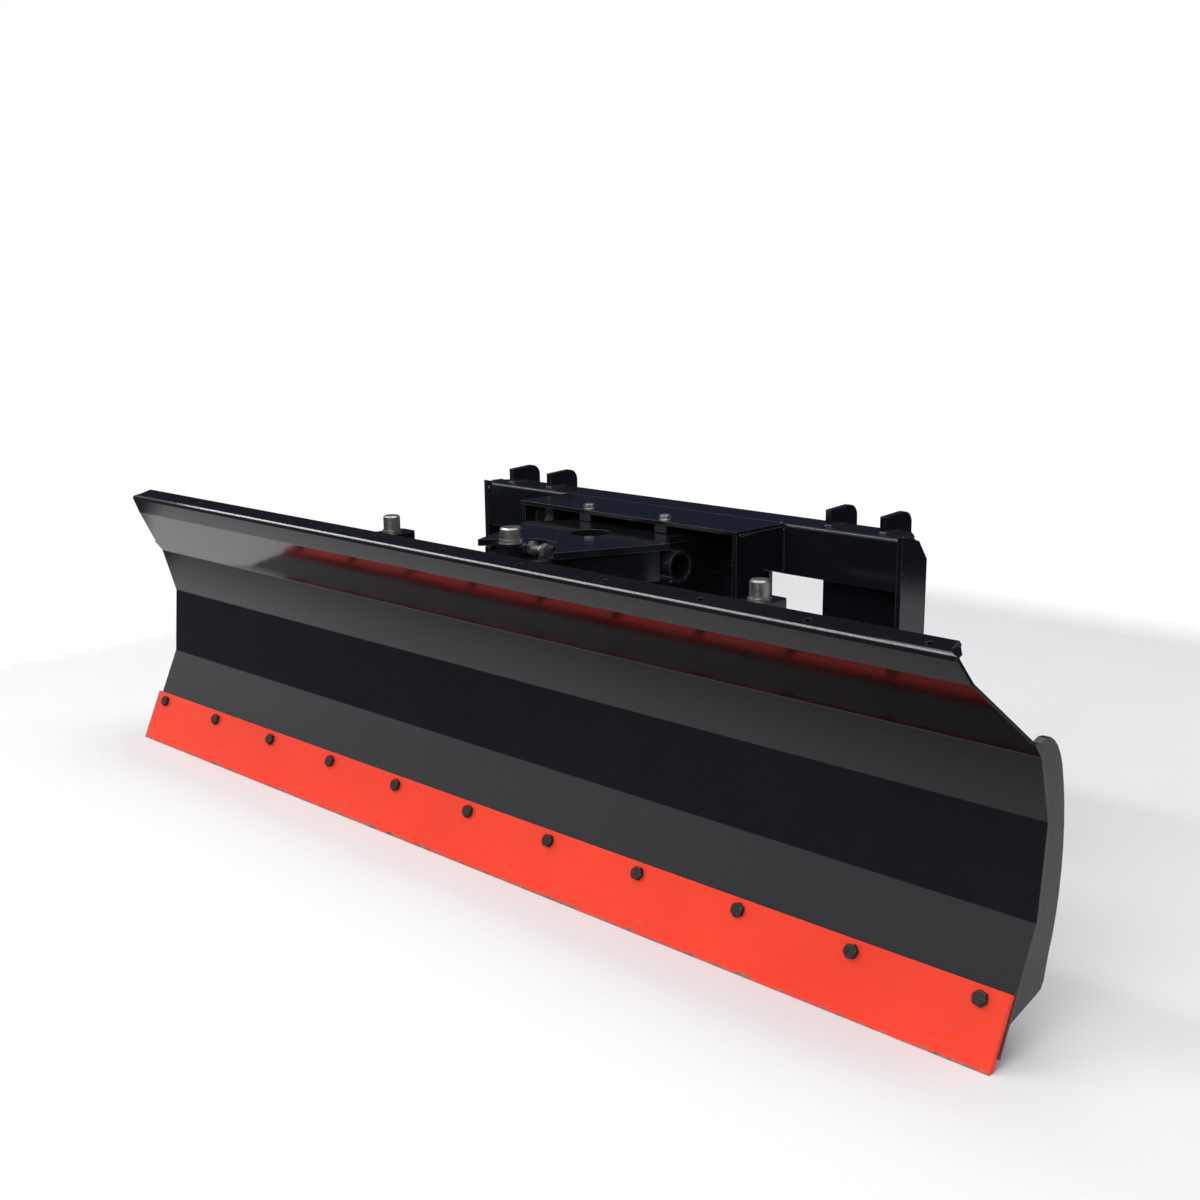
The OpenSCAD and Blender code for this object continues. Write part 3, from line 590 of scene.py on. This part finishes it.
def edge_fasteners():
    """Edge bolts with chamfered heads and cut threads, each head turned its own way within the row."""
    lean, bolt_up, stack, washer = math.radians(24.6), 76, 21.0, 2
    up = Vector((0, math.sin(lean), math.cos(lean)))
    inward = Vector((0, math.cos(lean), -math.sin(lean)))
    across = inward.cross(up)
    flats, shank = 17, 5
    bm, nuts = bmesh.new(), bmesh.new()
    dice = random.Random(5)
    for i in range(BOLT_COUNT):
        centre = at((i - (BOLT_COUNT - 1) / 2) * BOLT_PITCH, 0, 0) + up * (bolt_up * MM)
        out = Matrix((across, up, -inward)).transposed().to_4x4()
        out.translation = centre
        back = Matrix((across, up, inward)).transposed().to_4x4()
        back.translation = centre
        stack_rings(bm, hex_rows(flats, 6.4, 1.3, turn=dice.uniform(-0.5, 0.5)), out)
        stack_rings(bm, round_rows(shank, 0, stack - 0.5), back)
        stack_rings(bm, thread_rows(shank, stack - 1.5, stack + 12.5), back)
        nut = hex_rows(flats, 8.4, 1.0, turn=dice.uniform(-0.5, 0.5), bottom=True)
        stack_rings(nuts, raised(nut, stack + washer), back)
    for name, mesh, node in (("edge_bolts_cut", bm, "edge_bolts"), ("edge_nuts_cut", nuts, "edge_nuts")):
        bmesh.ops.recalc_face_normals(mesh, faces=mesh.faces)
        o = to_object(name, mesh, MATERIALS["black_bolt"], BODY_OF[node])
        sharpen(o)
        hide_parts(node)


def cover_fasteners():
    """The cover's zinc bolts, with a rounded flange and a chamfered head."""
    bolts = span("cover_bolts")
    flange, flange_t, flats, head, shank = 9.5, 1.9, 16, 7.0, 5
    bm = bmesh.new()
    for s, spin in ((-1, 0.18), (1, 0.42)):
        seat = at(s * (bolts.x1 - flange), (bolts.y0 + bolts.y1) / 2, bolts.z1 - (flange_t + head))
        place = Matrix.Translation(seat)
        stack_rings(bm, round_rows(flange, 0, flange_t + 0.1, sides=48, soft=0.5), place)
        stack_rings(bm, raised(hex_rows(flats, head, 1.3, turn=spin), flange_t), place)
        stack_rings(bm, thread_rows(shank, -18, 0.5), place)
    bmesh.ops.recalc_face_normals(bm, faces=bm.faces)
    o = to_object("cover_bolts_cut", bm, MATERIALS["zinc"], BODY_OF["cover_bolts"])
    sharpen(o)
    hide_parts("cover_bolts")


def sharpen(o):
    """Keeps creases crisp where faces turn by more than 38 degrees."""
    crease = math.radians(38)
    bm = bmesh.new()
    bm.from_mesh(o.data)
    for edge in bm.edges:
        if len(edge.link_faces) == 2:
            edge.smooth = edge.calc_face_angle(0) < crease
    bm.to_mesh(o.data)
    bm.free()


frame_welds()
blade_welds()
barrel_welds()
edge_fasteners()
cover_fasteners()


# ---------------------------------------------------------------- studio
def studio():
    """A pale floor sheet with soft edges, three lamps, and a room that is bright ahead of the blade and
    above it, softly lit behind on the right and dim elsewhere. The camera sees it as plain white."""
    left, right, ahead, behind = -1.66, 2.2, FOOT - 0.29, FOOT + 2.2
    below = 0.0003
    nx, ny = 44, 32
    xs = [left + (right - left) * i / nx for i in range(nx + 1)]
    ys = [ahead + (behind - ahead) * j / ny for j in range(ny + 1)]
    row = nx + 1
    corners = [j * row + i for j in range(ny) for i in range(nx)]
    floor = bpy.data.meshes.new("floor")
    floor.from_pydata([(x, y, CAD_LOW.z - below) for y in ys for x in xs], [],
                      [(k, k + 1, k + row + 1, k + row) for k in corners])
    ground = bpy.data.objects.new("floor", floor)
    bpy.context.scene.collection.objects.link(ground)
    s = Shader("floor_pale", Specular_IOR_Level=0.25)
    where = s.xyz()
    inner = None
    for source, low, high, fade in ((where["X"], left, right, 0.10), (where["Y"], ahead, behind, 0.22)):
        for edge, sign in ((low, 1), (high, -1)):
            part = s.ramp(source, edge, edge + sign * fade)
            inner = part if inner is None else s.math("MULTIPLY", inner, part)
    tone = s.mix(s.ramp(s.noise(0.8, 3), 0.3, 0.7), (0.82, 0.82, 0.82, 1), (0.85, 0.85, 0.85, 1))
    s.set(Base_Color=tone, Roughness=s.ramp(s.noise(6, 3), 0.3, 0.7, 0.6, 0.7), Alpha=inner)
    floor.materials.append(s.mat)

    world = bpy.data.worlds.new("studio")
    bpy.context.scene.world = world
    world.use_nodes = True
    tree = world.node_tree
    way = tree.nodes.new("ShaderNodeSeparateXYZ")
    tree.links.new(tree.nodes.new("ShaderNodeTexCoord").outputs["Generated"], way.inputs[0])

    def smooth(axis, low, high, a=0.0, b=1.0):
        return remap(tree, way.outputs[axis], low, high, a, b, "SMOOTHSTEP")

    def join(operation, a, b):
        return calculate(tree, operation, a, b)

    wall = join("MULTIPLY", smooth("Y", 0.15, -0.35), smooth("Z", 0.02, 0.24, 0.10, 1.0))
    ceiling = smooth("Z", 0.72, 0.95)
    side = join("MULTIPLY", smooth("Y", 0.15, 0.55, 0.0, 0.4), smooth("X", 0.15, 0.5))
    side = join("MULTIPLY", side, smooth("Z", 0.04, 0.25))
    lit = join("MAXIMUM", join("MAXIMUM", wall, ceiling), side)
    shade = blend(tree, lit, (0.017, 0.024, 0.045, 1), (1.0, 1.0, 1.02, 1))
    camera_ray = tree.nodes.new("ShaderNodeLightPath").outputs["Is Camera Ray"]
    tree.links.new(blend(tree, camera_ray, shade, WHITE), tree.nodes["Background"].inputs["Color"])

    def area(name, place, aim, size_x, size_y, watts):
        light = bpy.data.lights.new(name, "AREA")
        light.shape = "RECTANGLE"
        light.size, light.size_y, light.energy = size_x, size_y, watts
        o = bpy.data.objects.new(name, light)
        o.location = place
        o.rotation_euler = (Vector(aim) - Vector(place)).to_track_quat("-Z", "Y").to_euler()
        bpy.context.scene.collection.objects.link(o)

    area("key", (-1.9, -1.2, 2.2), (-1.9, 0, 0.2), 4.2, 0.16, 30)
    area("fill", (1.3, -3.2, 2.3), (0, 0, 0.2), 2.4, 1.8, 48)
    area("top", (0.2, 0.6, 3.0), (0, 0.1, 0.2), 2.6, 1.8, 26)


def camera():
    """The photograph's viewpoint, given from the middle of the cutting edge's foot."""
    low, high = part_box("cutting_edge")
    foot = Vector(((low.x + high.x) / 2, low.y, low.z))
    azimuth, elevation, roll = (math.radians(a) for a in (46.12, 14.63, -0.72))
    eye = foot + Vector((1.7511, -1.3962, 0.8700))
    back = Vector((math.sin(azimuth) * math.cos(elevation), -math.cos(azimuth) * math.cos(elevation),
                   math.sin(elevation)))
    data = bpy.data.cameras.new("camera")
    data.sensor_width = 36.0
    data.lens = 48.07
    data.shift_x, data.shift_y = 0.0073, 0.0594
    o = bpy.data.objects.new("camera", data)
    o.location = eye
    turn = (-back).to_track_quat("-Z", "Y").to_matrix() @ Matrix.Rotation(roll, 3, "Z")
    o.rotation_euler = turn.to_euler()
    bpy.context.scene.collection.objects.link(o)
    bpy.context.scene.camera = o


studio()
camera()
bpy.context.scene.view_settings.view_transform = "Standard"
